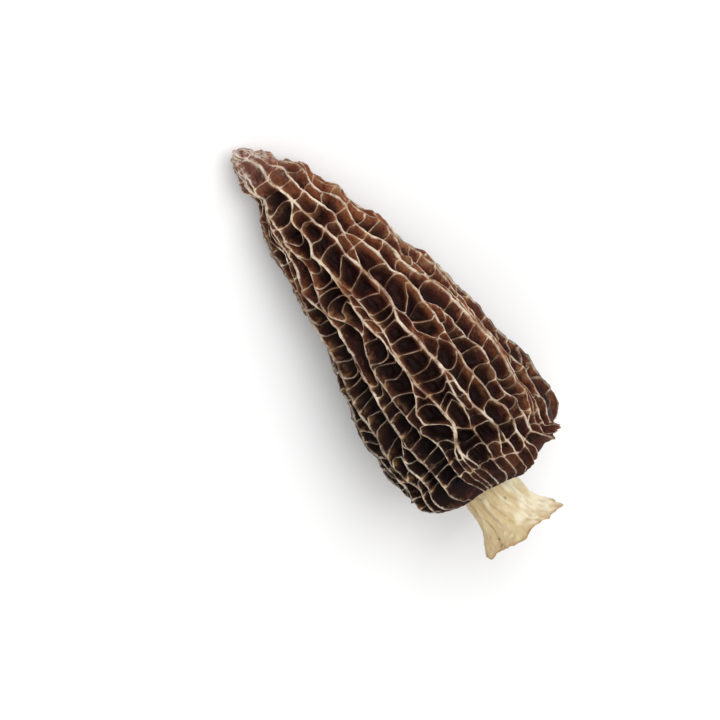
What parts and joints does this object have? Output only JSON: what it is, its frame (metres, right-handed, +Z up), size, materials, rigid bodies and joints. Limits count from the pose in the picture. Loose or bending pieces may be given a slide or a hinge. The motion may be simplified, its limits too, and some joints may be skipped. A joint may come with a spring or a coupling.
{
  "type": "dried morel mushroom",
  "caption": "Dried black morel: a conical dark brown cap with a raised net of pale ribs, and a short cream hollow stem, lying on its side",
  "frame": {"origin": "centre of the bounding box in X and Y, at the height of the lowest points it lies on", "axes": "+X along the mushroom from the tip of the cap to the cut end of the stem, +Z up"},
  "size_m": [0.0718, 0.0264, 0.0252],
  "materials": {
    "cap": "matte",
    "stem": "matte"
  },
  "bodies": {
    "root": {"cap": "cap", "stem": "stem"}
  },
  "joints": []
}
